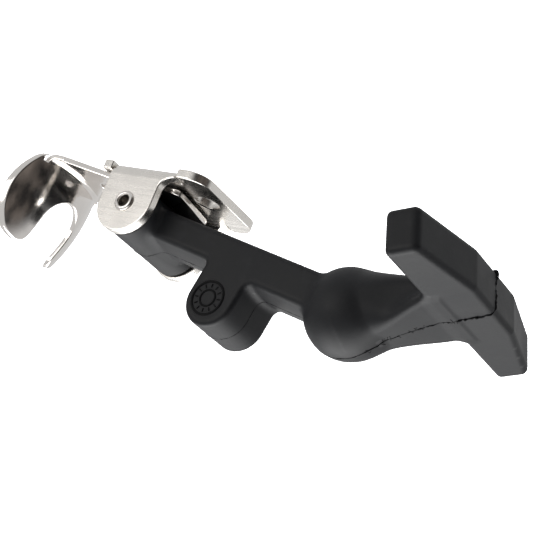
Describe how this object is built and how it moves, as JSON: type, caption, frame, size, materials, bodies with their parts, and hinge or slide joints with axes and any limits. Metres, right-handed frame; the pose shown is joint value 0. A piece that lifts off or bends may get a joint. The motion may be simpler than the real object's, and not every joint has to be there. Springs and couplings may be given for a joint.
{
  "type": "rubber draw latch",
  "caption": "Rubber T-handle draw latch: a ball-shouldered strap on a riveted sheet-steel U bracket, with a loose forked keeper plate.",
  "frame": {"origin": "on the bracket's mounting face, under the centre of its two ears", "axes": "+Z away from the surface that the bracket is screwed to, +X along the strap towards the T handle, +Y along the pivot towards the rivet's rolled end"},
  "size_m": [0.1339, 0.0666, 0.0357],
  "materials": {
    "stainless_sheet": "satin, lightly burnished",
    "keeper_sheet": "polished, soft reflections",
    "rivet_steel": "bright, rolled end",
    "sleeve_steel": "plain turned",
    "black_rubber": "moulded, satin"
  },
  "bodies": {
    "bracket_assembly": {"bracket": "stainless_sheet", "pivot_rivet": "rivet_steel", "pivot_sleeve": "sleeve_steel"},
    "latch": {"rubber_latch": "black_rubber"},
    "loose_keeper": {"keeper": "keeper_sheet"}
  },
  "joints": [
    {"name": "latch_pivot", "type": "hinge", "parent": "bracket_assembly", "child": "latch", "pos_m": [0, 0, 0.0113], "axis": [0, -1, 0], "range_deg": [-4, 105]},
    {"name": "keeper_slide", "type": "slide", "parent": "bracket_assembly", "child": "loose_keeper", "axis": [-0.9922, 0.1218, -0.0279], "range_m": [0, 0.045]}
  ]
}
